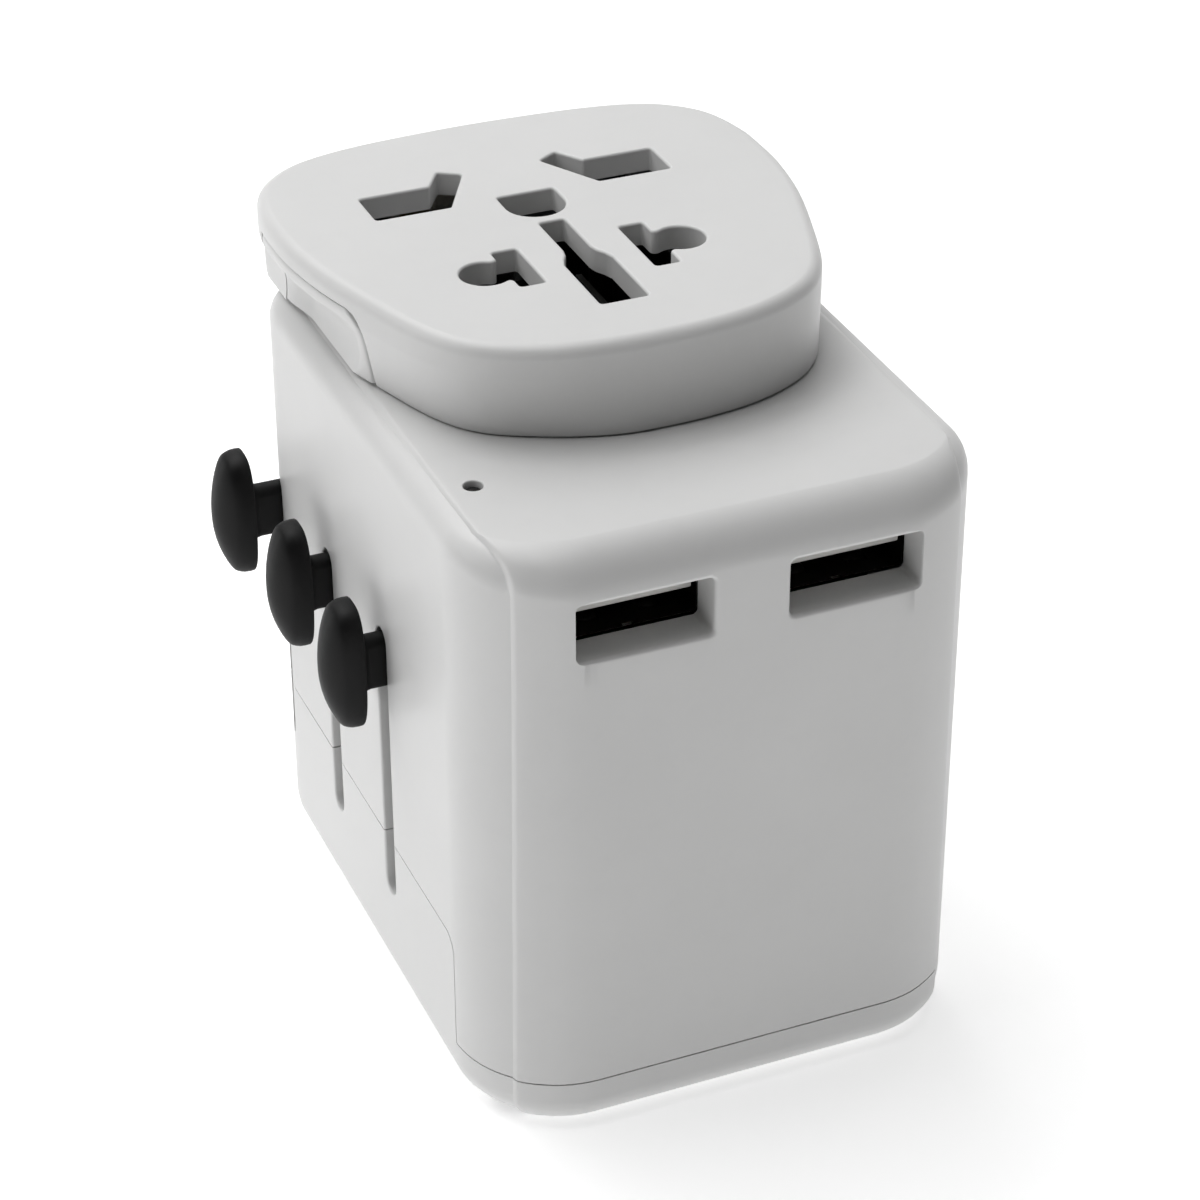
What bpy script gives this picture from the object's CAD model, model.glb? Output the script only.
"""Travel adapter: a tall rounded housing with three sliders on one flank, two USB ports at the
front, a universal socket on top and three kinds of extending pins in the base.

Lengths in the helpers are millimetres from the middle of the housing's base, with the sliders
towards -X (left), the USB ports towards -Y (front) and +Z up. put() takes each finished piece
to the row frame, in metres."""
import math
from contextlib import contextmanager

import bmesh
import bpy
import numpy as np
from mathutils import Matrix, Vector


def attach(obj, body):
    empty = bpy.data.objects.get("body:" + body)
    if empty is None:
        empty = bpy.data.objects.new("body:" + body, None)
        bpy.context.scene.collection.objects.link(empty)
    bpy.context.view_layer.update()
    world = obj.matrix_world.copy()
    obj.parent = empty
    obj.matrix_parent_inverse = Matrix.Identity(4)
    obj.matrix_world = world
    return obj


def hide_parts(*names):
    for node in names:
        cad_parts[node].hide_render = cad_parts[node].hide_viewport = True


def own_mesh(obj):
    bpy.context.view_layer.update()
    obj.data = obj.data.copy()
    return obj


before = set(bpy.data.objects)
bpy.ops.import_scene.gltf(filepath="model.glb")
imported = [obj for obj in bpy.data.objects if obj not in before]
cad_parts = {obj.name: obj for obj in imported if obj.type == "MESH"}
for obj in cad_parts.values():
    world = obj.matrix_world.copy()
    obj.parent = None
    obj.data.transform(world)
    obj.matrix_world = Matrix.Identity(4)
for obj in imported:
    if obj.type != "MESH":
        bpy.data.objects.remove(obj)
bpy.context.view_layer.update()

MM = 0.001
FRAME_ORIGIN = np.array((-3.475, 1.0, 0.0))   # the row frame's origin, seen from the housing

# housing
BODY_W, BODY_D, BODY_H = 49.5, 65.2, 60.6
FRONT = -BODY_D / 2
CORNER_R = 10.5
TOP_SIDE, TOP_FRONT, BOTTOM_R = 2.4, 4.4, 3.4   # rounding of the top and bottom edges
WALL = 2.2
STEP = 0.35                                     # flanks lie this far inside the raised band
WALL_X = -BODY_W / 2 + STEP
BAND_DEPTH, BAND_DROP = 1.3, 0.44
BAND_TOP, BAND_CORNER = 22.6, 21.45             # half widths of the band
SEAM, SEAM_Z = 0.15, 5.35
WING_Z, WING_FRONT, WING_REAR, WING_R = 17.2, -22.5, 28.6, 1.9
BOSSES = ((-19.3, -25.6), (19.3, -25.6), (-19.4, 16.8), (18.4, 26.6))
LED_X, LED_Y = -19.45, -17.4

# sliders and the pins they push out
SLIDER_PITCH = 15.0
US_Y = -5.5
EU_Y = US_Y + SLIDER_PITCH
UK_Y = EU_Y + SLIDER_PITCH
EARTH_Y = UK_Y - 22.2
US_X, EU_X, UK_X = 6.35, 9.5, 11.1
SLOT_W, SLOT_LOW, SLOT_HIGH = 2.6, 10.9, 40.55
STEM_LOW, STEM_HIGH, STEM_W = 34.75, 40.15, 2.1
STEM_MID = (STEM_LOW + STEM_HIGH) / 2
SLIDERS = (("us", US_Y), ("eu", EU_Y), ("uk", UK_Y))
SIDES = (("left", -1), ("right", 1))

# USB ports
USB_X, USB_Z, USB_W, USB_H, USB_DEEP = 9.85, 53.3, 12.9, 5.95, 3.7

# socket head and its squeeze buttons; BTN_FRONT and BTN_REAR count from HEAD_Y
HEAD_X, HEAD_Y = -0.75, 2.3
HEAD_TOP, HEAD_BASE = 70.0, 60.85
HEAD_SLAB, HEAD_WALL, HEAD_R = 2.3, 1.7, 1.25
BTN_FRONT, BTN_REAR, BTN_TOP = 0.0, 19.6, HEAD_TOP - 2.0
FOOT_LEFT, FOOT_RIGHT = 21.6, 22.2
CUP_HALF, CUP_SHOULDER, CUP_FRONT, CUP_REAR = 16.2, 13.6, -8.7, 25.7


# ------------------------------------------------------------------ mesh tools
@contextmanager
def editing(mesh):
    edit = bmesh.new()
    edit.from_mesh(mesh)
    yield edit
    edit.to_mesh(mesh)
    edit.free()


def shade(obj, sharp=35.0):
    """Smooth shading, broken at edges of sharp degrees or more."""
    with editing(obj.data) as edit:
        for face in edit.faces:
            face.smooth = True
        for edge in edit.edges:
            edge.smooth = (len(edge.link_faces) == 2
                           and edge.calc_face_angle(0) < math.radians(sharp))


def to_object(edit, name, sharp=35.0):
    bmesh.ops.remove_doubles(edit, verts=edit.verts, dist=1e-7)
    bmesh.ops.recalc_face_normals(edit, faces=edit.faces)
    mesh = bpy.data.meshes.new(name)
    edit.to_mesh(mesh)
    edit.free()
    obj = bpy.data.objects.new(name, mesh)
    bpy.context.scene.collection.objects.link(obj)
    shade(obj, sharp)
    return obj


def tidy(obj):
    """Takes out points that only split a straight edge: they triangulate to slivers."""
    with editing(obj.data) as edit:
        spare = []
        for vert in edit.verts:
            if len(vert.link_edges) == 2:
                one, two = (e.other_vert(vert).co - vert.co for e in vert.link_edges)
                if one.length > 0 and two.length > 0 and one.angle(two) > math.radians(176):
                    spare.append(vert)
        bmesh.ops.dissolve_verts(edit, verts=spare)


def add_verts(edit, points):
    return [edit.verts.new([float(c) * MM for c in p]) for p in points]


def loft(name, rings, closed=False, sharp=35.0):
    """Skin over rings of equally many points: capped at both ends, or closed to a loop."""
    edit = bmesh.new()
    rows = [add_verts(edit, ring) for ring in rings]
    count = len(rows[0])
    pairs = list(zip(rows, rows[1:]))
    if closed:
        pairs.append((rows[-1], rows[0]))
    for low, high in pairs:
        for i in range(count):
            j = (i + 1) % count
            edit.faces.new((low[i], low[j], high[j], high[i]))
    if not closed:
        edit.faces.new(rows[0][::-1])
        edit.faces.new(rows[-1])
    return to_object(edit, name, sharp)


def boolean(obj, tool, operation="DIFFERENCE"):
    """Applies the tool to obj and deletes the tool."""
    mod = obj.modifiers.new("boolean", "BOOLEAN")
    mod.operation, mod.solver, mod.object = operation, "EXACT", tool
    bpy.context.view_layer.objects.active = obj
    with bpy.context.temp_override(object=obj, active_object=obj, selected_objects=[obj]):
        bpy.ops.object.modifier_apply(modifier=mod.name)
    mesh = tool.data
    bpy.data.objects.remove(tool, do_unlink=True)
    bpy.data.meshes.remove(mesh)
    with editing(obj.data) as edit:
        bmesh.ops.remove_doubles(edit, verts=edit.verts, dist=1.5e-6)
    return obj


def cut(obj, tool):
    return boolean(obj, tool)


def join(obj, tool):
    return boolean(obj, tool, "UNION")


def box(name, x0, x1, y0, y1, z0, z1, radius=0.0, seg=2):
    edit = bmesh.new()
    for vert in bmesh.ops.create_cube(edit, size=1.0)["verts"]:
        x, y, z = vert.co
        vert.co = Vector(((x0 if x < 0 else x1) * MM, (y0 if y < 0 else y1) * MM,
                          (z0 if z < 0 else z1) * MM))
    if radius:
        bmesh.ops.bevel(edit, geom=list(edit.edges), offset=radius * MM, segments=seg,
                        affect="EDGES", profile=0.5)
    return to_object(edit, name)


def turned(name, axis, centre, profile, seg=40):
    """Solid of revolution. profile: (distance along the axis, radius)."""
    across, beside, along = {"x": (1, 2, 0), "z": (0, 1, 2)}[axis]
    rings = []
    for distance, radius in profile:
        ring = []
        for i in range(seg):
            angle = 2 * math.pi * i / seg
            point = [0.0, 0.0, 0.0]
            point[across] = centre[across] + radius * math.cos(angle)
            point[beside] = centre[beside] + radius * math.sin(angle)
            point[along] = centre[along] + distance
            ring.append(point)
        rings.append(ring)
    return loft(name, rings)


def rod(axis, centre, radius, low, high, seg=32):
    return turned("rod", axis, centre, [(low, radius), (high, radius)], seg)


# ------------------------------------------------------------------ outlines
def clamp(t):
    return min(1.0, max(0.0, t))


def smoothstep(t):
    t = clamp(t)
    return t * t * (3 - 2 * t)


def arc(x, y, radius, start, end, steps):
    out = []
    for k in range(steps + 1):
        angle = math.radians(start + (end - start) * k / steps)
        out.append((x + radius * math.cos(angle), y + radius * math.sin(angle)))
    return out


def circle(x, y, radius, steps):
    return arc(x, y, radius, 0, 360, steps)[:-1]


def outline(half_x, half_y, radius, steps, x=0.0, y=0.0):
    """Round-cornered rectangle from its front right corner: (x, y, normal x, normal y)."""
    out = []
    for right, rear, start in ((1, -1, -90), (1, 1, 0), (-1, 1, 90), (-1, -1, 180)):
        for k in range(steps + 1):
            angle = math.radians(start + 90 * k / steps)
            nx, ny = math.cos(angle), math.sin(angle)
            out.append((x + right * (half_x - radius) + radius * nx,
                        y + rear * (half_y - radius) + radius * ny, nx, ny))
    return out


def round_rect(x, y, half_x, half_y, radius, steps):
    return [p[:2] for p in outline(half_x, half_y, radius, steps, x, y)]


def grown(poly, by):
    """Counter-clockwise outline moved outwards, corners mitred."""
    out = []
    count = len(poly)
    for i in range(count):
        before, here, after = (np.array(poly[(i + k) % count], float) for k in (-1, 0, 1))
        one = (here - before) / np.linalg.norm(here - before)
        two = (after - here) / np.linalg.norm(after - here)
        out_one, out_two = np.array((one[1], -one[0])), np.array((two[1], -two[0]))
        out.append(tuple(here + (out_one + out_two) * by / max(0.35, 1 + out_one @ out_two)))
    return out


def rounded(poly, radius):
    """Outline with its corners rounded, all but the slightest turns."""
    out = []
    count = len(poly)
    for i in range(count):
        before, here, after = (np.array(poly[(i + k) % count], float) for k in (-1, 0, 1))
        one, two = here - before, after - here
        len_one, len_two = np.linalg.norm(one), np.linalg.norm(two)
        one, two = one / len_one, two / len_two
        turn = math.acos(max(-1, min(1, float(one @ two))))
        if turn < 0.35:
            out.append(tuple(here))
            continue
        reach = min(radius * math.tan(turn / 2), len_one * 0.45, len_two * 0.45)
        start, end = here - one * reach, here + two * reach
        for k in range(4):
            f = k / 3
            out.append(tuple((1 - f) ** 2 * start + 2 * f * (1 - f) * here + f * f * end))
    return out


def soft_rect(x, y, half_x, half_y, radius=0.6):
    return rounded([(x - half_x, y - half_y), (x + half_x, y - half_y),
                    (x + half_x, y + half_y), (x - half_x, y + half_y)], radius)


def area(poly):
    return 0.5 * sum(poly[i - 1][0] * poly[i][1] - poly[i][0] * poly[i - 1][1]
                     for i in range(len(poly)))


def punch(poly, place, depth, flare, above=1.5, seg=4):
    """Cutter through a face, flared where it meets it. place(u, v, w) maps the outline plus
    the distance w below the face to space."""
    if area(poly) < 0:
        poly = poly[::-1]
    levels = [(-above, flare)]
    for k in range(seg + 1):
        turn = math.pi / 2 * k / seg
        levels.append((flare * (1 - math.cos(turn)), flare * (1 - math.sin(turn))))
    levels.append((depth, 0.0))
    rings = []
    for down, grow in levels:
        ring = grown(poly, grow) if grow > 1e-6 else poly
        rings.append([place(u, v, down) for u, v in ring])
    return loft("punch", rings)


def plan_prism(poly, z0, z1):
    return loft("prism", [[(x, y, z) for x, y in poly] for z in (z0, z1)])


def side_prism(poly, x0, x1):
    return loft("prism", [[(x, y, z) for y, z in poly] for x in (x0, x1)])


# ways through a face, for punch()
def into_left(u, v, w):
    return WALL_X + w, u, v


def into_front(u, v, w):
    return u, FRONT + w, v


def into_base(u, v, w):
    return u, v, w


def into_top(u, v, w):
    return u, v, BODY_H - w


# ------------------------------------------------------------------ housing surface
def rim_drop(nx, ny):
    return TOP_SIDE * nx * nx + TOP_FRONT * ny * ny


def low_point(x, y, nx, ny, angle, base=0.0):
    """Outline point carried round the bottom edge; 0 is on the wall, pi/2 underneath."""
    inward = 1 - math.cos(angle)
    return (x - nx * BOTTOM_R * inward, y - ny * BOTTOM_R * inward,
            base + BOTTOM_R * (1 - math.sin(angle)))


def high_point(x, y, nx, ny, angle, top=BODY_H):
    """Outline point carried round the top edge; 0 is on the wall, pi/2 on top."""
    inward = 1 - math.cos(angle)
    return (x - nx * TOP_SIDE * inward, y - ny * TOP_FRONT * inward,
            top - rim_drop(nx, ny) * (1 - math.sin(angle)))


def body_rings(inset, base, corner_steps=18, low_steps=6, top_steps=10):
    points = outline(BODY_W / 2 - inset, BODY_D / 2 - inset, CORNER_R - inset, corner_steps)
    rings = []
    for k in range(low_steps + 1):
        angle = math.pi / 2 * (1 - k / low_steps)
        rings.append([low_point(*p, angle, base) for p in points])
    for k in range(top_steps + 1):
        angle = math.pi / 2 * k / top_steps
        rings.append([high_point(*p, angle, BODY_H - inset) for p in points])
    return rings


# ------------------------------------------------------------------ raised band
# A band runs round the housing over front, top, rear and base. Its half rows are lists of
# (place, normal, distance in from the band's edge), from the middle to the left edge.
EDGE_STATIONS = [0.0, 0.07, 0.16, 0.26, 0.37, 0.49, 0.62, 0.78, 1.0, 1.6, 2.6, 4.2]
INNER_STATIONS, EDGE_ZONE = 24, 5.2     # even stations, up to this far from the edge
EDGE_LIMIT, EDGE_SPAN = 5.3, 5.25       # what counts as edge zone on top, and its width there
UNDER_STEPS = 7
WALL_SHARES = (0.0, 0.05, 0.12, 0.3, 0.5, 0.7, 0.84, 0.93)
BROW_DEGREES = (5, 12, 19, 26, 33, 40, 47, 54, 61, 68, 74, 79, 83)
TOP_SHARES = (0.12, 0.3, 0.5, 0.75, 1.0)
BASE_SHARES = (0.25, 0.5, 0.75)


def band_half_width(y, z):
    y = abs(y)
    base = BAND_TOP
    if y > 22:
        base += (BAND_CORNER - BAND_TOP) * min(1.0, (y - 22) / 7.4)
    return base + 0.5 * clamp((50 - z) / 50) * clamp((y - 26) / 3)


def edge_drop(from_edge):
    return BAND_DROP * (1 - smoothstep(from_edge))


def path_lengths(points):
    steps = np.linalg.norm(np.diff(points, axis=0), axis=1)
    return np.concatenate([[0], np.cumsum(steps)])


def along(where, lengths, values):
    return np.array([np.interp(where, lengths, values[:, i]) for i in range(3)])


def split(points):
    return np.array([p[:3] for p in points]), np.array([p[3:] for p in points])


def half_row(points):
    """Half row from wall points with normals that run on beyond the band's left edge."""
    place, normal = split(points)
    over = [abs(p[0]) - band_half_width(p[1], p[2]) for p in points]
    k = next(i for i in range(1, len(points)) if over[i] > 0)
    share = -over[k - 1] / (over[k] - over[k - 1])
    edge = place[k - 1] + share * (place[k] - place[k - 1])
    edge_normal = normal[k - 1] + share * (normal[k] - normal[k - 1])
    place, normal = np.vstack([place[:k], edge]), np.vstack([normal[:k], edge_normal])
    lengths = path_lengths(place)
    total = lengths[-1]
    stations = list(np.linspace(0, total - EDGE_ZONE, INNER_STATIONS))
    stations += [total - e for e in EDGE_STATIONS[::-1]]
    out = []
    for where in stations:
        direction = along(where, lengths, normal)
        direction /= np.linalg.norm(direction)
        out.append((along(where, lengths, place), direction, total - where))
    return out


def half_outline(steps=40):
    """Middle of the front round the left corner to the middle of the left side."""
    corner = outline(BODY_W / 2, BODY_D / 2, CORNER_R, steps)[-(steps + 1):][::-1]
    return [(0.0, FRONT, 0.0, -1.0)] + corner + [(-BODY_W / 2, 0.0, -1.0, 0.0)]


def under_rows(base, wall_row):
    """Rows round the bottom edge, stationed along the outline like the wall's first row."""
    base_lengths = path_lengths(np.array([p[:2] for p in base]))
    stations = path_lengths(np.array([place for place, _, _ in wall_row]))
    rows = []
    for k in range(UNDER_STEPS):
        angle = math.pi / 2 * (1 - k / UNDER_STEPS)
        flat, down = math.cos(angle), -math.sin(angle)
        place, normal = split([low_point(*p, angle) + (p[2] * flat, p[3] * flat, down)
                               for p in base])
        row = []
        for where, (_, _, from_edge) in zip(stations, wall_row):
            direction = along(where, base_lengths, normal)
            direction /= np.linalg.norm(direction)
            row.append((along(where, base_lengths, place), direction, from_edge))
        rows.append(row)
    return rows


def top_rows(last):
    """Rows from the top of the front brow to the middle of the top."""
    up = np.array((0.0, 0.0, 1.0))
    inner_x = abs(next(place[0] for place, _, e in last if e < EDGE_LIMIT)) + 1e-9
    rows = []
    for share in TOP_SHARES:
        row = []
        for start, normal, from_edge in last:
            if from_edge < EDGE_LIMIT:
                target_x = -(BAND_TOP - from_edge)
            else:
                target_x = -(BAND_TOP - EDGE_SPAN) * min(1.0, abs(start[0]) / inner_x)
            place = start + (np.array((target_x, 0.0, BODY_H)) - start) * share
            drop = 0.0
            if abs(place[0]) > BODY_W / 2 - TOP_SIDE:
                out = 1 - (BODY_W / 2 - abs(place[0])) / TOP_SIDE
                drop = TOP_SIDE * (1 - math.sqrt(max(0, 1 - out * out)))
            place[2] = (1 - share) * start[2] + share * (BODY_H - drop)
            row.append((place, normal * (1 - share) + up * share, from_edge))
        rows.append(row)
    return rows


def band_section(row, rear=False):
    """Closed loop: outer skin left to right, inner skin back."""
    def both_halves(points):
        return points[::-1] + [np.array((-x, y, z)) for x, y, z in points[1:]]

    outer, inner = [], []
    for place, normal, from_edge in row:
        normal = normal / np.linalg.norm(normal)
        outer.append(place - normal * edge_drop(from_edge))
        inner.append(place - normal * BAND_DEPTH)
    loop = both_halves(outer) + both_halves(inner)[::-1]
    return [np.array((x, -y, z)) for x, y, z in loop] if rear else loop


def band():
    base = half_outline()
    walls = []
    for share in WALL_SHARES:
        walls.append([(x, y, BOTTOM_R + share * (BODY_H - rim_drop(nx, ny) - BOTTOM_R),
                       nx, ny, 0) for x, y, nx, ny in base])
    for degrees in BROW_DEGREES:
        angle = math.radians(degrees)
        flat, up = math.cos(angle), math.sin(angle)
        walls.append([high_point(*p, angle) + (p[2] * flat, p[3] * flat, up) for p in base])
    rows = [half_row(wall) for wall in walls]
    rows = under_rows(base, rows[0]) + rows + top_rows(rows[-1])
    front = [band_section(row) for row in rows]
    rear = [band_section(row, rear=True) for row in rows[:-1]]
    loops = front + rear[::-1]
    # under the base, from rear to front
    for share in BASE_SHARES:
        loops.append([a + (b - a) * share for a, b in zip(rear[0], front[0])])
    return loft("band", loops, closed=True)


# ------------------------------------------------------------------ housing and base cap
def cap_zone(grow):
    """Space of the base cap: a slice at the bottom and a wing up the left flank."""
    zone = box("zone", -40, 40, -50, 50, -10, SEAM_Z + grow)
    top, front, rear = WING_Z + grow, WING_FRONT - grow, WING_REAR + grow
    poly = [(front, 0.0), (rear, 0.0)]
    poly += arc(rear - WING_R, top - WING_R, WING_R, 0, 90, 7)
    poly += arc(front + WING_R, top - WING_R, WING_R, 90, 180, 7)
    return join(zone, side_prism(poly, -40, -18.2))


def cavity():
    points = outline(BODY_W / 2 - WALL - 0.2, BODY_D / 2 - WALL, CORNER_R - WALL, 10)
    return plan_prism([p[:2] for p in points], WALL, BODY_H - WALL)


def slot_punch(y):
    radius = SLOT_W / 2
    stadium = (arc(y, SLOT_LOW + radius, radius, 180, 360, 10)
               + arc(y, SLOT_HIGH - radius, radius, 0, 180, 10))
    return punch(stadium, into_left, depth=6.0, flare=0.22, above=6.0)


def cup_prism(grow, z0, z1):
    """Opening in the housing's top under the head."""
    half = [(9.0, CUP_FRONT), (CUP_SHOULDER, HEAD_Y - 2.7), (CUP_SHOULDER, HEAD_Y + 10.5),
            (CUP_HALF, HEAD_Y + 12.9), (CUP_HALF, CUP_REAR)]
    poly = grown(half + [(-x, y) for x, y in half[::-1]], grow)
    return plan_prism([(HEAD_X + x, y) for x, y in poly], z0, z1)


def add_usb_tunnels(body):
    for side in (-1, 1):
        x = side * USB_X
        join(body, box("tunnel", x - 8.0, x + 8.0, FRONT + 1.0, FRONT + USB_DEEP,
                       USB_Z - 4.4, USB_Z + 4.4))
    for side in (-1, 1):
        port = round_rect(side * USB_X, USB_Z, USB_W / 2 - 0.15, USB_H / 2 - 0.2, 0.5, 4)
        cut(body, punch(port, into_front, USB_DEEP + 1.0, flare=0.45, above=3.0, seg=6))


def add_screw_posts(body, lower):
    for x, y in BOSSES:
        centre = (x, y, 0)
        join(body, rod("z", centre, 2.15, 5.8, BODY_H - 1.0, 24))
        cut(body, rod("z", centre, 1.35, 4.0, 18.0, 20))
        join(lower, rod("z", centre, 2.9, WALL - 1.0, 5.5, 28))
        cut(lower, rod("z", centre, 1.6, -1.0, 7.0, 24))
        cut(lower, punch(circle(x, y, 2.6, 32), into_base, depth=2.4, flare=0.25))


def cut_pin_holes(lower):
    holes = []
    for side in (-1, 1):
        holes += [circle(side * US_X, US_Y, 3.7, 40), circle(side * EU_X, EU_Y, 2.35, 40),
                  soft_rect(side * UK_X, UK_Y, 3.5, 2.35)]
    holes.append(soft_rect(0.0, EARTH_Y, 2.35, 4.35))
    for hole in holes:
        cut(lower, punch(hole, into_base, depth=4.0, flare=0.3))


def build_shell():
    body = join(loft("housing_shell", body_rings(STEP, 0.1)), band())
    lower = body.copy()
    lower.data = body.data.copy()
    lower.name = "base_cap"
    bpy.context.scene.collection.objects.link(lower)
    cut(body, cap_zone(SEAM))
    cut(body, cavity())
    boolean(lower, cap_zone(0.0), "INTERSECT")
    cut(lower, cavity())
    add_usb_tunnels(body)
    add_screw_posts(body, lower)
    for _, y in SLIDERS:
        cut(body, slot_punch(y))
        cut(lower, slot_punch(y))
    cut(body, punch(circle(LED_X, LED_Y, 0.88, 32), into_top, depth=5.0, flare=0.16))
    cut(body, cup_prism(0.4, BODY_H - 6, BODY_H + 4))
    cut_pin_holes(lower)
    for obj in (body, lower):
        tidy(obj)
        shade(obj, 33)
    return body, lower


# ------------------------------------------------------------------ socket head
# right half of the head's outline from HEAD_X, HEAD_Y, front to rear: (x, y)
HEAD_KEYS = ((0.3, -17.0), (5.2, -16.8), (10.1, -15.9), (14.5, -14.0), (17.6, -11.4),
             (19.9, -7.5), (22.0, -1.4), (23.9, 5.2), (24.9, 11.0), (25.15, 15.5),
             (24.9, 20.5), (23.4, 25.4), (20.4, 28.6), (16.8, 30.3), (11.7, 31.3),
             (5.6, 31.75), (0.3, 31.9))
KEY_MIDDLE = 0.3   # x of the keys' mirror line
SQUEEZE_START = 0.15


def lean(x, y):
    """How far the wall leans in by the foot of the head, round its front left."""
    return 1.25 * smoothstep((-x - 1.0) / 12.0) * clamp((15.0 - y) / 12.0)


def lean_share(z):
    return clamp((HEAD_TOP - 2.4 - z) / (HEAD_TOP - 2.4 - HEAD_BASE))


def squeeze(x, y, z, start=SQUEEZE_START):
    """Sideways place of the flank: below the rim it hollows in to a straight foot along the
    housing's top edge."""
    rear = smoothstep((y - 14.0) / 5.6)
    over = abs(x) - (FOOT_LEFT if x < 0 else FOOT_RIGHT) - 0.8 * rear
    if over <= 0:
        return x
    down = clamp(((BTN_TOP - z) / (BTN_TOP - HEAD_BASE) - start) / (1 - start))
    into = (1 - (1 - down) ** 2.3) * smoothstep(down / 0.1)
    dip = 0.85 * math.sin(math.pi * down ** 0.7) * min(1.0, over) * (1 - 0.6 * rear)
    return math.copysign(abs(x) - over * into - dip, x)


def head_points(fine=6):
    """Catmull-Rom curve through the keys and their mirror image."""
    keys = [np.array(k, float) for k in HEAD_KEYS]
    keys += [np.array((2 * KEY_MIDDLE - k[0], k[1])) for k in HEAD_KEYS[-2:0:-1]]
    count = len(keys)
    points = []
    for i in range(count):
        p = [keys[(i + k) % count] for k in (-1, 0, 1, 2)]
        for j in range(fine):
            t = j / fine
            points.append(0.5 * ((2 * p[1]) + (p[2] - p[0]) * t
                                 + (2 * p[0] - 5 * p[1] + 4 * p[2] - p[3]) * t * t
                                 + (3 * p[1] - p[0] - 3 * p[2] + p[3]) * t ** 3))
    return points


HEAD_CURVE = head_points()


def head_ring(inset, z, share=None, wall=0.0):
    """Outline at height z. share: how much of the lean applies; wall > 0 gives the inner face."""
    if share is None:
        share = lean_share(z)
    out = []
    count = len(HEAD_CURVE)
    for i, point in enumerate(HEAD_CURVE):
        run = HEAD_CURVE[(i + 1) % count] - HEAD_CURVE[i - 1]
        run = run / np.linalg.norm(run)
        deep = inset + wall + share * lean(point[0], point[1])
        x, y = point[0] - deep * run[1], point[1] + deep * run[0]
        if point[1] > 10 and abs(point[0]) > 20:
            flank = abs(squeeze(point[0] - inset * run[1], point[1], z))
            x = math.copysign(min(abs(x), flank - wall), x)
        out.append((HEAD_X + x, HEAD_Y + y, z))
    return out


def head_side(side, y):
    """Distance of the head's outline from its middle at y, on one side."""
    best = 0.0
    for one, two in zip(HEAD_CURVE, HEAD_CURVE[1:] + HEAD_CURVE[:1]):
        if (one[1] - y) * (two[1] - y) <= 0 and one[1] != two[1]:
            x = one[0] + (two[0] - one[0]) * (y - one[1]) / (two[1] - one[1])
            best = max(best, side * x)
    return best


def button_outline(grow):
    """Opening for a squeeze button, seen from the side: (y, z)."""
    front, rear = HEAD_Y + BTN_FRONT - grow, HEAD_Y + BTN_REAR + grow
    top, low = BTN_TOP + grow, HEAD_BASE - 4
    return [(rear, low), (rear, top), (front + 2.0, top), (front + 1.1, top - 0.25),
            (front + 0.45, top - 0.85), (front + 0.1, top - 1.8), (front, top - 3.0),
            (front + 0.35, low)]


def round_and_flat(side, slot_inner, slot_outer, y0, y1):
    """Flat-blade slot run into the round-pin hole beside it, the tongues between blunted."""
    hole, radius, blunt = -EU_X, 2.35, 0.5
    x = -slot_outer
    tip_x = x - blunt
    tip_y = math.sqrt((radius + blunt) ** 2 - (tip_x - hole) ** 2)
    turn = math.degrees(math.atan2(tip_y, tip_x - hole))
    ring = [(-slot_inner, y0), (-slot_inner, y1), (x, y1)]
    ring += arc(tip_x, tip_y, blunt, 0, turn - 180, 9)[:-1]
    ring += arc(hole, 0, radius, turn, 360 - turn, 26)
    ring += arc(tip_x, -tip_y, blunt, 180 - turn, 0, 9)[1:]
    ring += [(x, y0)]
    return ring if side < 0 else [(-u, v) for u, v in ring[::-1]]


def socket_outlines():
    """Openings in the head's top, from a middle line 0.3 left of HEAD_X: (x, y)."""
    round_ended = ([(2.85, 14.35), (-2.85, 14.35), (-2.85, 12.2)]
                   + arc(0, 11.9, 2.87, 186, 354, 16) + [(2.85, 12.2)])
    waisted = [(-1.25, 7.75), (-1.25, 1.7), (-1.45, 0.7), (-1.95, -0.2), (-2.29, -1.2),
               (-2.29, -9.55), (2.29, -9.55), (2.29, -1.2), (1.95, -0.2), (1.45, 0.7),
               (1.25, 1.7), (1.25, 7.75)]
    slanted = [(14.77, 14.1), (14.77, 19.0), (7.75, 19.0), (6.0, 21.75), (3.96, 20.5),
               (7.45, 14.1)]
    out = [round_and_flat(-1, 5.1, 7.55, -3.65, 3.65), round_and_flat(1, 5.15, 7.55, -4.5, 4.2),
           round_ended, waisted]
    out += [[(side * x, y) for x, y in slanted] for side in (-1, 1)]
    return [poly if area(poly) > 0 else poly[::-1] for poly in out]


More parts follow.
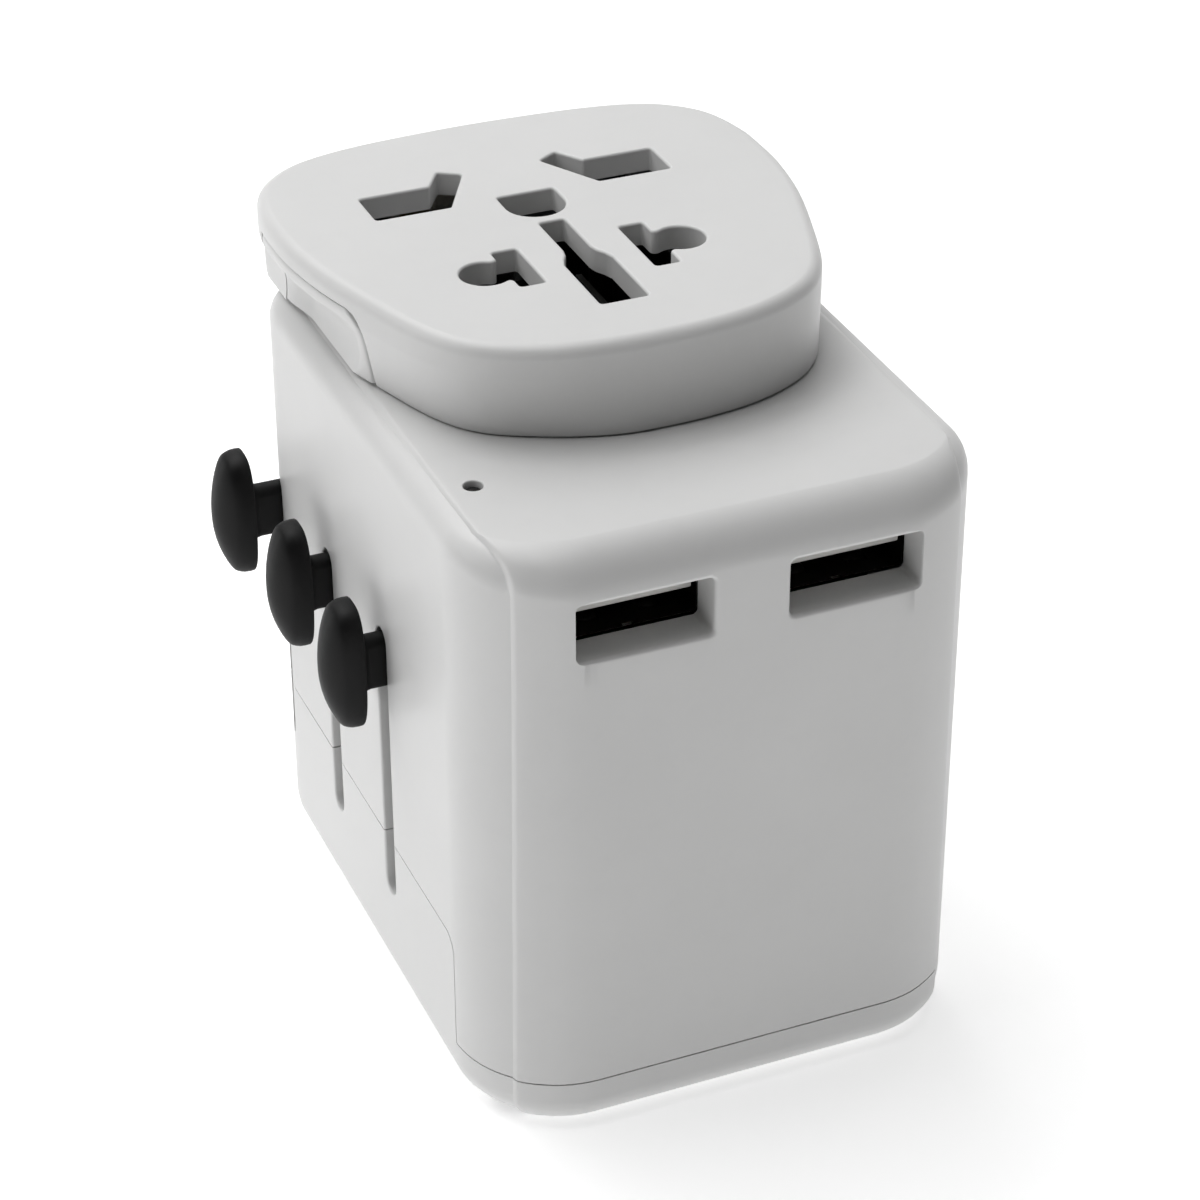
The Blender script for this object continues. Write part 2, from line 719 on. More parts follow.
def build_head():
    # columns: inset, height over the head's base
    rings = [head_ring(inset, HEAD_BASE + z)
             for inset, z in ((0.36, -0.17), (0.2, -0.09), (0.12, 0.08), (0.1, 0.7))]
    for k in range(1, 15):
        z = HEAD_BASE + 0.7 + (BTN_TOP - 0.9 - HEAD_BASE - 0.7) * k / 14
        rings.append(head_ring(0.1 * (1 - k / 14), z))
    for k in range(10):
        angle = math.pi / 2 * k / 9
        rings.append(head_ring(HEAD_R * (1 - math.cos(angle)),
                               HEAD_TOP - HEAD_R * (1 - math.sin(angle))))
    head = loft("socket_cover", rings)
    inner = [head_ring(0.5, HEAD_BASE - 3, 1.0, HEAD_WALL)]
    for k in range(8):
        z = HEAD_BASE + (HEAD_TOP - HEAD_SLAB - HEAD_BASE) * k / 7
        inner.append(head_ring(0.3 * (1 - k / 7), z, 1.0, HEAD_WALL))
    cut(head, loft("inner", inner))
    for x0, x1 in ((-40, HEAD_X - 17.5), (HEAD_X + 17.5, 40)):
        cut(head, side_prism(button_outline(0.14), x0, x1))
    for poly in socket_outlines():
        cut(head, punch(rounded(poly, 0.35),
                        lambda u, v, w: (HEAD_X - 0.3 + u, HEAD_Y + v, HEAD_TOP - w),
                        depth=5.0, flare=0.28))
    shade(head, 33)
    return head


def build_button(tag, side):
    """Squeeze button: a flush rim along its top and front, and a finger scoop below."""
    columns, levels = 54, 26
    gap, thick = 0.08, 1.35
    outer, inner = [], []
    for j in range(levels + 1):
        down = j / levels
        outer_row, inner_row = [], []
        corner = max(0.0, 1 - down / 0.34)
        y_front = BTN_FRONT + gap + 0.28 * down + 2.0 * corner * corner
        z = BTN_TOP - 0.05 - down * (BTN_TOP - 0.05 - HEAD_BASE - 0.12)
        for i in range(columns + 1):
            y = y_front + (BTN_REAR - gap - y_front) * ((i / columns) ** 1.15)
            from_front = y - y_front
            start = SQUEEZE_START + 0.06 * smoothstep(1 - from_front / 4.0)
            soften = 0.14 * (1 - smoothstep(min(from_front, BTN_TOP - z) / 0.22))
            full = head_side(side, y)
            wall = full - (lean_share(z) * lean(-20.0, y) if side < 0 else 0.0)
            hollow = min(wall, abs(squeeze(side * full, y, z, start)))
            scoop = smoothstep((from_front - 0.6) / 1.6)
            x = wall + (hollow - wall) * scoop - 0.03 - soften
            outer_row.append((HEAD_X + side * x, HEAD_Y + y, z))
            inner_row.append((HEAD_X + side * (x - thick), HEAD_Y + y, z))
        outer.append(outer_row)
        inner.append(inner_row)
    edit = bmesh.new()
    out = [add_verts(edit, row) for row in outer]
    back = [add_verts(edit, row) for row in inner]
    for j in range(levels):
        for i in range(columns):
            edit.faces.new((out[j][i], out[j][i + 1], out[j + 1][i + 1], out[j + 1][i]))
            edit.faces.new((back[j][i], back[j + 1][i], back[j + 1][i + 1], back[j][i + 1]))
    for j in range(levels):
        for i in (0, columns):
            edit.faces.new((out[j][i], out[j + 1][i], back[j + 1][i], back[j][i]))
    for i in range(columns):
        for j in (0, levels):
            edit.faces.new((out[j][i], out[j][i + 1], back[j][i + 1], back[j][i]))
    return to_object(edit, "squeeze_grip_" + tag, 50)


# ------------------------------------------------------------------ sliders
KNOB_HALF_H, KNOB_HALF_W, KNOB_POWER = 6.4, 3.0, 2.9
# columns: distance out from the knob's back, share of its full size
KNOB_SHAPE = [(0.0, 0.90), (0.0, 0.965), (0.05, 0.985), (0.16, 1.0), (0.6, 1.004), (1.1, 0.998),
              (1.5, 0.978), (1.8, 0.955), (1.95, 0.937), (2.1, 0.908), (2.25, 0.87),
              (2.45, 0.81), (2.7, 0.72), (2.95, 0.61), (3.2, 0.47), (3.38, 0.33),
              (3.5, 0.19), (3.55, 0.06)]


def knob_profile():
    """The knob's shape, with a point added halfway along each step of the dome."""
    profile = []
    for (out, share), (next_out, next_share) in zip(KNOB_SHAPE, KNOB_SHAPE[1:]):
        profile.append((out, share))
        if out > 1.0:
            profile.append(((out + next_out) / 2, (share + next_share) / 2))
    return profile + [KNOB_SHAPE[-1]]


def build_stem(y, back):
    """Flat stem with a round top and softened lower corners, flared where it meets the knob."""
    half, low, soft = STEM_W / 2, STEM_LOW - 0.05, 0.58
    section = arc(y, STEM_HIGH - half, half, 0, 180, 12)
    section += arc(y - half + soft, low + soft, soft, 180, 270, 3)
    section += arc(y + half - soft, low + soft, soft, 270, 360, 3)
    # columns: x, growth of the section
    stations = [(back - 0.6, 1.4), (back, 0.6), (back + 0.25, 0.3), (back + 0.6, 0.1),
                (back + 1.0, 0.0), (-17.2, 0.0)]
    return loft("stem", [[(x, *p) for p in (grown(section, grow) if grow else section)]
                         for x, grow in stations], sharp=50)


def build_knob(tag, y, seg=72):
    """Oval button with a domed face, on its stem."""
    back = WALL_X - (3.1 if tag == "uk" else 2.4)   # the rear button stands a little prouder
    rings = []
    for out, share in knob_profile():
        power = 2 + (KNOB_POWER - 2) * min(1.0, share * 1.1)
        ring = []
        for i in range(seg):
            angle = 2 * math.pi * i / seg
            c, s = math.cos(angle), math.sin(angle)
            wide = math.copysign(abs(c) ** (2 / power), c) * KNOB_HALF_W * share
            high = math.copysign(abs(s) ** (2 / power), s) * KNOB_HALF_H * share
            ring.append((back - out, y + wide, STEM_MID + 0.2 + high))
        rings.append(ring)
    knob = loft("slider_button_" + tag, rings, sharp=40)
    join(knob, build_stem(y, back))
    shade(knob, 38)
    return knob


# ------------------------------------------------------------------ USB sockets
def build_usb(tag, side):
    x, y0, y1 = side * USB_X, FRONT + USB_DEEP + 0.2, -13.6
    low, high = USB_Z - 3.2, USB_Z - 2.4   # heights cut through the lower wall
    can = box("usb_can_" + tag, x - 6.55, x + 6.55, y0, y1, USB_Z - 2.85, USB_Z + 2.85, 0.45, 3)
    cut(can, box("inside", x - 6.25, x + 6.25, y0 - 1, y1 - 1.4,
                 USB_Z - 2.55, USB_Z + 2.55, 0.3, 2))
    # slits either side of two spring tongues in the lower wall
    spring_x = 2.9
    for k in (-1, 1):
        for slit in (-0.9, 0.9):
            cut(can, box("slit", x + k * spring_x - 0.12 + slit, x + k * spring_x + 0.12 + slit,
                         y0 + 2.0, y0 + 7.0, low, high))
    cut(can, box("notch", x - 0.5, x + 0.5, y0 - 1, y0 + 0.45, low, high))
    shade(can, 33)
    tongue = box("usb_blade_" + tag, x - 5.9, x + 5.9, y0 + 0.15, y1 - 1.6,
                 USB_Z - 0.25, USB_Z + 1.6, 0.2, 2)
    dimples = [turned("dimple", "z", (x + k * spring_x, y0 + 3.2, USB_Z - 2.6),
                      [(-0.02, 1.15), (0.12, 1.05), (0.3, 0.7), (0.38, 0.2)], 24)
               for k in (-1, 1)]
    pads = [box("pad", x + k - 0.5, x + k + 0.5, y0 + 0.9, y1 - 2.0,
                USB_Z - 0.36, USB_Z - 0.2, 0.05, 1) for k in (-3.5, -1.0, 1.0, 3.5)]
    return can, tongue, dimples, pads


# ------------------------------------------------------------------ pins
def build_round_pin(tag, side):
    profile = [(4.6, 0.2), (4.62, 0.7), (4.75, 1.15), (5.05, 1.5), (5.5, 1.75), (6.2, 1.9),
               (7.0, 1.95), (13.55, 1.95), (13.6, 1.9), (13.6, 1.2), (33.2, 1.2)]
    return turned("round_pin_" + tag, "z", (side * EU_X, EU_Y, 0), profile)


def build_collar(tag, side):
    centre = (side * EU_X, EU_Y, 0)
    collar = turned("pin_collar_" + tag, "z", centre,
                    [(13.8, 1.85), (13.9, 1.95), (26.7, 1.95), (26.8, 1.85)])
    return cut(collar, rod("z", centre, 1.4, 10, 30))


def prong(name, x, y, half_x, half_y, radius, steps, stations):
    """Bar with a tapered end. stations: (z, inset in x, inset in y)."""
    return loft(name, [[(px, py, z) for px, py in
                        round_rect(x, y, half_x - in_x, half_y - in_y, radius, steps)]
                       for z, in_x, in_y in stations])


def build_blade(tag, side):
    x = side * US_X
    stations = ((7.6, 0.52, 1.25), (7.66, 0.36, 1.02), (7.9, 0.2, 0.72), (8.4, 0.06, 0.35),
                (9.0, 0.0, 0.12), (9.8, 0.0, 0.0), (23.4, 0, 0))
    blade = prong("flat_blade_" + tag, x, US_Y, 0.75, 3.175, 0.16, 3, stations)
    cut(blade, rod("x", (x, US_Y, 11.2), 1.55, -3, 3))
    join(blade, box("tang", x - 0.75, x + 0.75, US_Y - 0.7, US_Y + 0.7, 22.6, 28.8))
    shade(blade, 33)
    return blade


def build_turret(tag, side):
    x = side * US_X
    profile = [(23.6, 3.1), (23.68, 3.28), (23.9, 3.4), (26.6, 3.4), (26.7, 3.3), (26.7, 1.45),
               (36.9, 1.45)]
    turret = turned("blade_turret_" + tag, "z", (x, US_Y, 0), profile, 48)
    cut(turret, box("tang", x - 1.1, x + 1.1, US_Y - 1.0, US_Y + 1.0, 21, 29.2))
    shade(turret, 33)
    return turret


def build_flat_pin(name, x, y, half_x, half_y, tip):
    # columns: height over the tip, inset
    ends = ((0, 1.45), (0.06, 1.2), (0.35, 0.9), (1.3, 0.42), (2.0, 0.14), (2.6, 0.0))
    stations = [(tip + z, inset, inset) for z, inset in ends] + [(26.75, 0.0, 0.0)]
    pin = prong(name, x, y, half_x, half_y, 0.3, 4, stations)
    tang_x, tang_y = (2.0, 1.0) if half_x > half_y else (1.0, 2.0)
    join(pin, box("tang", x - tang_x, x + tang_x, y - tang_y, y + tang_y, 25, 32))
    shade(pin, 33)
    return pin


# ------------------------------------------------------------------ springs and screws
def coil(name, start, end, radius, wire, turns, per_turn=28, sides=10):
    """Coil of round wire of radius wire, from start to end."""
    start, end = np.array(start, float), np.array(end, float)
    length = np.linalg.norm(end - start)
    axis = (end - start) / length
    across = np.cross(axis, (0.0, 0.0, 1.0))
    across /= np.linalg.norm(across)
    beside = np.cross(axis, across)
    margin = wire / length
    total = int(per_turn * turns)
    rings = []
    for i in range(total + 1):
        t = i / total
        angle = 2 * math.pi * turns * t
        out = math.cos(angle) * across + math.sin(angle) * beside
        centre = start + (end - start) * (margin + t * (1 - 2 * margin)) + radius * out
        rings.append([tuple(centre + wire * (math.cos(b) * out + math.sin(b) * axis))
                      for b in np.linspace(0, 2 * math.pi, sides + 1)[:-1]])
    return loft(name, rings, sharp=60)


def build_screw(name, x, y):
    """Cross-slotted screw, its head down at the base."""
    z, head, shank, length, pitch = 0.9, 2.1, 1.0, 13.4, 0.35
    profile = [(0.12, head * 0.25), (0.0, head * 0.6), (0.06, head * 0.82), (0.22, head * 0.95),
               (0.5, head), (1.3, head), (1.3, shank)]
    for i in range(int((length - 2.6) / pitch)):
        profile += [(1.55 + i * pitch, shank), (1.72 + i * pitch, shank * 1.12),
                    (1.8 + i * pitch, shank)]
    profile += [(length - 0.9, shank * 0.8), (length, 0.25)]
    screw = turned(name, "z", (x, y, z), profile, 28)
    for wide, deep in ((0.13, 0.62), (0.62, 0.13)):
        cut(screw, box("slot", x - wide * head, x + wide * head, y - deep * head,
                       y + deep * head, z - 1.0, z + 0.75))
    shade(screw, 33)
    return screw


# ------------------------------------------------------------------ materials
class Shader:
    """A new material, with short calls for the nodes used here."""

    def __init__(self, name):
        self.material = bpy.data.materials.new(name)
        self.material.use_nodes = True
        self.tree = self.material.node_tree
        self.bsdf = self.tree.nodes["Principled BSDF"]

    def node(self, kind):
        return self.tree.nodes.new("ShaderNode" + kind)

    def feed(self, socket, value):
        """Links a socket, or sets a number or colour."""
        if isinstance(value, bpy.types.NodeSocket):
            self.tree.links.new(value, socket)
        else:
            socket.default_value = (*value, 1) if isinstance(value, tuple) else value

    def noise(self, per_mm, detail=4.0, rough=0.55, stretch_z=1):
        coords, mapping = self.node("TexCoord"), self.node("Mapping")
        per_metre = 1000.0
        mapping.inputs["Scale"].default_value = (per_metre, per_metre, per_metre * stretch_z)
        self.feed(mapping.inputs["Vector"], coords.outputs["Object"])
        noise = self.node("TexNoise")
        noise.inputs["Scale"].default_value = per_mm
        noise.inputs["Detail"].default_value = detail
        noise.inputs["Roughness"].default_value = rough
        self.feed(noise.inputs["Vector"], mapping.outputs["Vector"])
        return noise.outputs["Fac"]

    def ramp(self, fac, start, end, low=0.0, high=1.0):
        """Grey ramp from low at start to high at end."""
        ramp = self.node("ValToRGB")
        stops = ((start, low), (end, high))
        for element, (position, grey) in zip(ramp.color_ramp.elements, stops):
            element.position = position
            element.color = (grey, grey, grey, 1)
        self.feed(ramp.inputs["Fac"], fac)
        return ramp.outputs["Color"]

    def mix(self, fac, one, two, blend="MIX"):
        mix = self.node("Mix")
        mix.data_type, mix.blend_type = "RGBA", blend
        for index, value in ((0, fac), (6, one), (7, two)):
            self.feed(mix.inputs[index], value)
        return mix.outputs[2]

    def math(self, operation, *values, clamped=False):
        node = self.node("Math")
        node.operation, node.use_clamp = operation, clamped
        for socket, value in zip(node.inputs, values):
            self.feed(socket, value)
        return node.outputs[0]

    def edge_mask(self, radius=0.3):
        """1 on edges and corners, 0 on open faces."""
        bevel = self.node("Bevel")
        bevel.samples = 3
        bevel.inputs["Radius"].default_value = radius * MM
        geometry = self.node("NewGeometry")
        dot = self.node("VectorMath")
        dot.operation = "DOT_PRODUCT"
        self.feed(dot.inputs[0], bevel.outputs["Normal"])
        self.feed(dot.inputs[1], geometry.outputs["Normal"])
        spread = self.node("MapRange")
        spread.inputs["From Min"].default_value = 0.99
        spread.inputs["From Max"].default_value = 0.8
        self.feed(spread.inputs["Value"], dot.outputs["Value"])
        return spread.outputs["Result"]

    def bump(self, height, strength, depth):
        bump = self.node("Bump")
        bump.inputs["Strength"].default_value = strength
        bump.inputs["Distance"].default_value = depth * MM
        self.feed(bump.inputs["Height"], height)
        self.feed(self.bsdf.inputs["Normal"], bump.outputs["Normal"])


ROUGH_DROP = 0.08      # roughness below nominal where its noise is 0
PLASTIC_SWING, METAL_SWING = 0.16, 0.22   # roughness the noise adds from there
EDGE_POLISH = 0.08     # roughness taken off worn plastic edges
PLASTIC_WEAR, METAL_WEAR = 0.55, 0.6      # how much of the lighter edge colour shows


def tone(colour, gain, lift=0.0):
    return tuple(min(1.0, c * gain + lift) for c in colour)


def plastic(name, colour, rough, grain, grain_depth, specular, dirt):
    """Moulded plastic: fine eroded grain, slow tone drift, polish and wear on proud edges."""
    sh = Shader(name)
    slow = sh.noise(0.06, detail=3)
    blotch = sh.noise(0.55, detail=5)
    fine = sh.noise(grain, detail=2, rough=0.5)
    base = sh.mix(sh.ramp(slow, start=0.35, end=0.65), tone(colour, 1 - dirt),
                  tone(colour, 1 + dirt * 0.5, lift=0.002))
    speck = sh.ramp(blotch, start=0.25, end=0.5, low=1 - dirt * 0.8)
    base = sh.mix(1.0, base, speck, blend="MULTIPLY")
    edge = sh.math("MULTIPLY", sh.edge_mask(),
                   sh.ramp(sh.noise(0.9), start=0.35, end=0.65, low=0.15), clamped=True)
    base = sh.mix(sh.math("MULTIPLY", edge, PLASTIC_WEAR), base, tone(colour, 1.05, lift=0.002))
    sh.feed(sh.bsdf.inputs["Base Color"], base)
    roughness = sh.math("MULTIPLY_ADD", blotch, PLASTIC_SWING, rough - ROUGH_DROP)
    roughness = sh.math("SUBTRACT", roughness, sh.math("MULTIPLY", edge, EDGE_POLISH),
                        clamped=True)
    sh.feed(sh.bsdf.inputs["Roughness"], roughness)
    sh.bsdf.inputs["Specular IOR Level"].default_value = specular
    sh.bsdf.inputs["IOR"].default_value = 1.5
    fine_weight, coarse_weight = 1.0, 0.6
    height = sh.math("ADD", sh.math("MULTIPLY", fine, fine_weight),
                     sh.math("MULTIPLY", sh.noise(grain * 0.25, detail=2), coarse_weight))
    sh.bump(height, strength=0.35, depth=grain_depth)
    return sh.material


def metal(name, colour, rough, stretch_z, tarnish):
    """Metal with streaks across its length, patches of tarnish and brighter edges."""
    sh = Shader(name)
    sh.bsdf.inputs["Metallic"].default_value = 1.0
    slow = sh.noise(0.18)
    streak = sh.noise(2.2, detail=6, rough=0.7, stretch_z=stretch_z)
    base = sh.mix(sh.ramp(slow, start=0.4, end=0.7), colour, tone(colour, 1 - tarnish))
    base = sh.mix(sh.ramp(sh.noise(0.7, detail=6), start=0.55, end=0.75, high=0.5),
                  base, tone(colour, 1 - tarnish * 2.2))
    edge = sh.math("MULTIPLY", sh.edge_mask(), METAL_WEAR, clamped=True)
    base = sh.mix(edge, base, tone(colour, 1.15, lift=0.03))
    sh.feed(sh.bsdf.inputs["Base Color"], base)
    roughness = sh.math("MULTIPLY_ADD", streak, METAL_SWING, rough - ROUGH_DROP, clamped=True)
    sh.feed(sh.bsdf.inputs["Roughness"], roughness)
    sh.bump(streak, strength=0.3, depth=0.006)
    return sh.material


# columns: name, colour, roughness, grains per mm, grain depth in mm, specular level, dirt
PLASTICS = (
    ("white_plastic", (0.73, 0.73, 0.725), 0.38, 6.0, 0.006, 0.5, 0.015),
    ("white_insert", (0.72, 0.71, 0.68), 0.4, 5.0, 0.01, 0.45, 0.05),
    ("black_plastic", (0.003, 0.003, 0.0033), 0.52, 4.0, 0.012, 0.20, 0.3),
    ("grey_plastic", (0.16, 0.16, 0.165), 0.5, 4.0, 0.015, 0.4, 0.15),
    ("sleeve_plastic", (0.012, 0.012, 0.014), 0.3, 3.0, 0.01, 0.5, 0.2),
    ("winding_tape", (0.70, 0.52, 0.07), 0.35, 1.2, 0.03, 0.5, 0.15),
    ("ferrite_core", (0.04, 0.04, 0.043), 0.62, 3.0, 0.04, 0.3, 0.3),
    ("circuit_board", (0.012, 0.13, 0.045), 0.32, 1.5, 0.02, 0.5, 0.35),
    ("fuse_ceramic", (0.80, 0.77, 0.68), 0.18, 2.0, 0.005, 0.6, 0.06),
    ("light_guide", (0.006, 0.006, 0.006), 0.45, 2.0, 0.004, 0.2, 0.05),
)
# columns: name, colour, roughness, noise scale in z against x and y, tarnish
METALS = (
    ("dark_nickel", (0.035, 0.034, 0.032), 0.45, 5, 0.1),
    ("tinned_strip", (0.16, 0.16, 0.155), 0.4, 6, 0.12),
    ("brass_strip", (0.80, 0.60, 0.30), 0.3, 6, 0.12),
    ("nickel_plate", (0.70, 0.69, 0.66), 0.24, 5, 0.08),
    ("zinc_steel", (0.52, 0.53, 0.54), 0.32, 1, 0.12),
)
MATERIALS = {row[0]: plastic(*row) for row in PLASTICS}
MATERIALS.update({row[0]: metal(*row) for row in METALS})


# ------------------------------------------------------------------ assembly
def framed(point):
    """Place in the row frame, in metres."""
    return tuple((np.array(point) - FRAME_ORIGIN) * MM)


def put(obj, material, body, node=None):
    """Colours a piece, moves it to the row frame with its own origin, hangs it on its body."""
    obj.data.transform(Matrix.Translation(Vector(tuple(-FRAME_ORIGIN * MM))))
    coords = np.zeros(len(obj.data.vertices) * 3)
    obj.data.vertices.foreach_get("co", coords)
    coords = coords.reshape(-1, 3)
    middle = Vector(tuple((coords.min(0) + coords.max(0)) / 2))
    obj.data.transform(Matrix.Translation(-middle))
    obj.location = middle
    obj.data.materials.clear()
    obj.data.materials.append(MATERIALS[material])
    mod = obj.modifiers.new("normals", "WEIGHTED_NORMAL")
    mod.keep_sharp, mod.weight = True, 60
    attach(obj, body)
    if node:
        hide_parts(node)
    return obj


def add_housing():
    housing, base_cap = build_shell()
    put(housing, "white_plastic", "adapter", "upper_housing")
    put(base_cap, "white_plastic", "adapter", "bottom_cap")
    put(build_head(), "white_plastic", "adapter", "head_cover")
    profile = [(51.2, 0.9)] + [(BODY_H - down, radius) for down, radius in (
        (1.0, 0.9), (0.72, 0.84), (0.52, 0.66), (0.41, 0.38), (0.38, 0.12))]
    put(turned("guide_lens", "z", (LED_X, LED_Y, 0), profile, 32),
        "light_guide", "adapter", "light_pipe")


def add_controls():
    for tag, side in SIDES:
        put(build_button(tag, side), "white_plastic", "release_" + tag, "release_button_" + tag)
    for tag, y in SLIDERS:
        put(build_knob(tag, y), "black_plastic", tag + "_knob", "knob_" + tag)


def add_usb():
    for tag, side in SIDES:
        can, tongue, dimples, pads = build_usb(tag, side)
        put(can, "dark_nickel", "adapter", "usb_shell_" + tag)
        # the can's front rim is bright
        can.data.materials.append(MATERIALS["nickel_plate"])
        front = min(v.co.y for v in can.data.vertices)
        for face in can.data.polygons:
            if face.normal.y < -0.8 and face.center.y < front + 0.6 * MM:
                face.material_index = 1
        put(tongue, "white_insert", "adapter", "usb_tongue_" + tag)
        for kind, pieces, material in (("dimple", dimples, "dark_nickel"),
                                       ("pad", pads, "brass_strip")):
            for k, piece in enumerate(pieces):
                piece.name = "usb_%s_%s_%d" % (kind, tag, k + 1)
                put(piece, material, "adapter")


def add_pins():
    for tag, side in SIDES:
        swivel = "us_blade_swivel_" + tag
        put(build_round_pin(tag, side), "nickel_plate", "eu_slider", "eu_pin_" + tag)
        put(build_collar(tag, side), "sleeve_plastic", "eu_slider", "eu_sleeve_" + tag)
        put(build_blade(tag, side), "nickel_plate", swivel, "us_blade_" + tag)
        put(build_turret(tag, side), "white_plastic", swivel, "blade_rotor_" + tag)
    for tag, side in SIDES:
        put(build_flat_pin("live_pin_" + tag, side * UK_X, UK_Y, 3.175, 2.0, 5.8),
            "brass_strip", "uk_slider", "uk_pin_" + tag)
    put(build_flat_pin("earth_pin", 0.0, EARTH_Y, 2.0, 4.0, 0.8),
        "brass_strip", "uk_slider", "uk_pin_earth")


def add_screws_and_springs():
    for k, (x, y) in enumerate(BOSSES, 1):
        put(build_screw("base_screw_%d" % k, x, y), "zinc_steel", "adapter", "cap_screw_%d" % k)
    for tag, y in SLIDERS:
        put(coil("detent_coil_" + tag, (-15.1, y, STEM_MID), (-12.85, y, STEM_MID),
                 radius=0.75, wire=0.14, turns=5.5),
            "zinc_steel", tag + "_slider", "knob_spring_" + tag)
    for tag, side in SIDES:
        near, far = ((HEAD_X + side * out, HEAD_Y + 16.0, HEAD_TOP - 4.6)
                     for out in (17.75, 19.9))
        spring = put(coil("grip_coil_" + tag, near, far, radius=1.3, wire=0.17, turns=3.5),
                     "zinc_steel", "adapter", "release_spring_" + tag)
        # the coil shortens as its grip is squeezed
        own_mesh(spring)


# the pieces inside keep their CAD shape, with softened edges
FINISH = {
    "contact_carrier": "black_plastic", "head_base": "grey_plastic", "shutter": "grey_plastic",
    "line_contact": "tinned_strip", "neutral_contact": "tinned_strip",
    "earth_contact": "tinned_strip", "line_busbar": "brass_strip",
    "neutral_busbar": "brass_strip", "fuse": "fuse_ceramic", "fuse_clip_left": "brass_strip",
    "fuse_clip_right": "brass_strip", "carriage_us": "black_plastic",
    "carriage_eu": "black_plastic", "carriage_uk": "black_plastic",
    "usb_board": "circuit_board", "transformer_coil": "winding_tape",
    "transformer_core": "ferrite_core", "capacitor_1": "sleeve_plastic",
    "capacitor_2": "sleeve_plastic", "charger_chip": "black_plastic",
    "indicator_led": "light_guide", "head_screw_1": "zinc_steel", "head_screw_2": "zinc_steel",
}


def finish_inside():
    for node, material in FINISH.items():
        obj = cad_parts[node]
        obj.data.materials.clear()
        obj.data.materials.append(MATERIALS[material])
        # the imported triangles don't share points
        obj.modifiers.new("whole", "WELD").merge_threshold = 2e-6
        if material == "tinned_strip":   # leaf strips too thin to round
            continue
        mod = obj.modifiers.new("edges", "BEVEL")
        mod.width, mod.segments = 0.12 * MM, 2
        mod.limit_method, mod.angle_limit = "ANGLE", math.radians(40)


add_housing()
add_controls()
add_usb()
add_pins()
add_screws_and_springs()
finish_inside()


# ------------------------------------------------------------------ stage
FLOOR_GLOW = 0.5


def floor_paper():
    sh = Shader("floor_paper")
    base = sh.mix(sh.ramp(sh.noise(0.02), start=0.35, end=0.65),
                  (0.86, 0.86, 0.86), (0.88, 0.88, 0.88))
    sh.feed(sh.bsdf.inputs["Base Color"], base)
    sh.bsdf.inputs["Roughness"].default_value = 0.9
    sh.bsdf.inputs["Emission Color"].default_value = (1, 1, 1, 1)
    sh.bsdf.inputs["Emission Strength"].default_value = FLOOR_GLOW
    sh.bump(sh.noise(0.8, detail=5), strength=0.1, depth=0.02)
    # the paper can be looked through from below, to show the underside
    path, geometry = sh.node("LightPath"), sh.node("NewGeometry")
    below = sh.math("MULTIPLY", path.outputs["Is Camera Ray"], geometry.outputs["Backfacing"])
    clear, both = sh.node("BsdfTransparent"), sh.node("MixShader")
    for index, value in enumerate((below, sh.bsdf.outputs[0], clear.outputs[0])):
        sh.feed(both.inputs[index], value)
    sh.feed(sh.tree.nodes["Material Output"].inputs["Surface"], both.outputs[0])
    return sh.material


def build_floor():
    """Flat paper that curves up into a backdrop well behind the object."""
    half, curve_start, curve_r = 3000.0, 1200, 900
    # columns: distance away from the viewer, height
    profile = [(-2500.0, 0.0), (0.0, 0.0), (curve_start, 0.0)]
    for k in range(1, 13):
        angle = math.pi / 2 * k / 12
        profile.append((curve_start + curve_r * math.sin(angle),
                        curve_r * (1 - math.cos(angle))))
    profile.append((curve_start + curve_r, 3500.0))
    azimuth = math.radians(-22.6)
    away = np.array((-math.sin(azimuth), math.cos(azimuth)))
    right = np.array((math.cos(azimuth), math.sin(azimuth)))
    edit = bmesh.new()
    rows = [add_verts(edit, [(*(away * distance + right * s), z - 0.05)
                             for s in (-half, 0.0, half)]) for distance, z in profile]
    for near, far in zip(rows, rows[1:]):
        for i in range(2):
            edit.faces.new((near[i], near[i + 1], far[i + 1], far[i]))
    floor = to_object(edit, "floor", 60)
    # an open sheet has no outside, so its normals may have come out downwards
    if floor.data.polygons[0].normal.z < 0:
        floor.data.flip_normals()
    floor.data.materials.append(floor_paper())
    return floor


build_floor()

# ------------------------------------------------------------------ lights and sky
LIGHT_TARGET = np.array((0.0, 0.0, 35.0))
# columns: name, azimuth (0 is the front, -90 the left), elevation, distance, size, watts
LIGHTS = (
    ("key_left", -105, 38, 700, (450, 450), 0.74),
    ("key_back", -165, 56, 800, (600, 450), 2.25),
    ("top", -120, 80, 800, (600, 600), 2.95),
)
SKY = 0.03   # light from the world; the camera sees it at full white


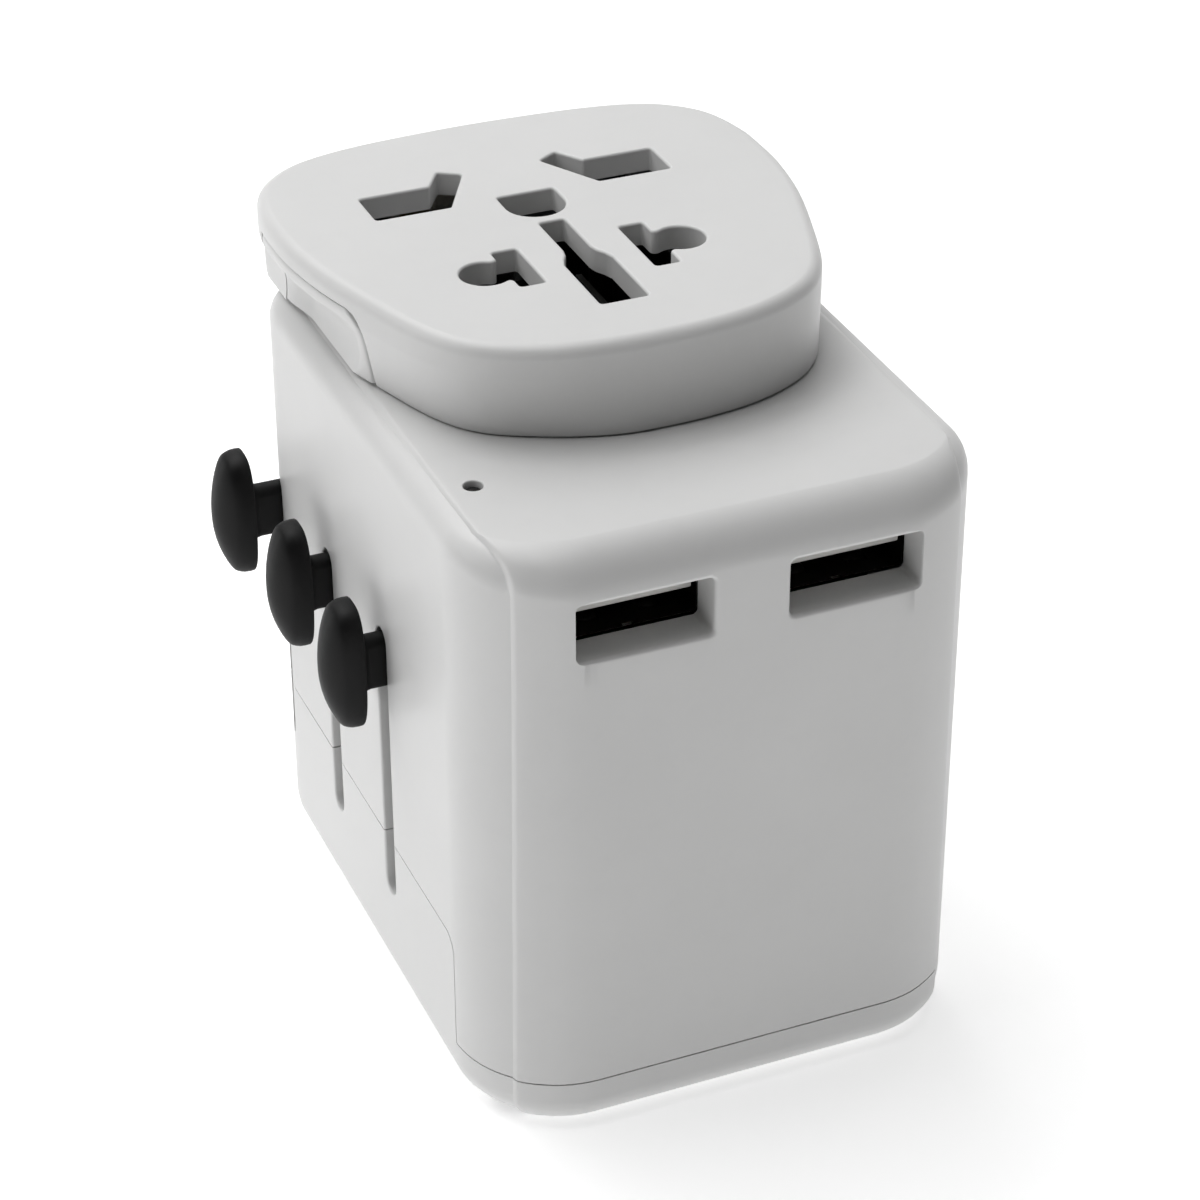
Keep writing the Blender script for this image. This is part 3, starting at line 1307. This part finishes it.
def add_lamp(name, azimuth, elevation, distance, size, power):
    light = bpy.data.lights.new(name, "AREA")
    light.shape = "RECTANGLE"
    light.size, light.size_y = size[0] * MM, size[1] * MM
    light.energy = power
    lamp = bpy.data.objects.new(name, light)
    azimuth, elevation = math.radians(azimuth), math.radians(elevation)
    offset = np.array((math.cos(elevation) * math.sin(azimuth),
                       -math.cos(elevation) * math.cos(azimuth),
                       math.sin(elevation))) * distance
    place, aim = Vector(framed(LIGHT_TARGET + offset)), Vector(framed(LIGHT_TARGET))
    lamp.location = place
    lamp.rotation_euler = (aim - place).to_track_quat("-Z", "Y").to_euler()
    bpy.context.scene.collection.objects.link(lamp)


def add_sky():
    world = bpy.data.worlds.new("studio")
    bpy.context.scene.world = world
    world.use_nodes = True
    tree = world.node_tree
    background = tree.nodes["Background"]
    background.inputs["Color"].default_value = (1.0, 1.0, 1.0, 1)
    path = tree.nodes.new("ShaderNodeLightPath")
    seen = tree.nodes.new("ShaderNodeMapRange")
    seen.inputs["To Min"].default_value = SKY
    seen.inputs["To Max"].default_value = 1.0
    tree.links.new(path.outputs["Is Camera Ray"], seen.inputs["Value"])
    tree.links.new(seen.outputs["Result"], background.inputs["Strength"])


for row in LIGHTS:
    add_lamp(*row)
add_sky()
bpy.context.scene.view_settings.view_transform = "Standard"

# ------------------------------------------------------------------ camera
CAMERA_PLACE = (-107.485, -256.926, 206.780)
CAMERA_AZIMUTH, CAMERA_ELEVATION = math.radians(-22.599), math.radians(31.736)
CAMERA_ROLL = -0.0034   # radians
LENS = 103.461


def add_camera():
    data = bpy.data.cameras.new("camera")
    data.sensor_width = 36.0
    data.lens = LENS
    data.clip_start, data.clip_end = 0.01, 20.0
    camera = bpy.data.objects.new("camera", data)
    cos_az, sin_az = math.cos(CAMERA_AZIMUTH), math.sin(CAMERA_AZIMUTH)
    cos_el, sin_el = math.cos(CAMERA_ELEVATION), math.sin(CAMERA_ELEVATION)
    right = Vector((cos_az, sin_az, 0))
    back = Vector((sin_az * cos_el, -cos_az * cos_el, sin_el))
    turn = Matrix((right, back.cross(right), back)).transposed()
    turn = turn @ Matrix.Rotation(CAMERA_ROLL, 3, "Z")
    camera.matrix_world = Matrix.Translation(Vector(framed(CAMERA_PLACE))) @ turn.to_4x4()
    bpy.context.scene.collection.objects.link(camera)
    bpy.context.scene.camera = camera


add_camera()

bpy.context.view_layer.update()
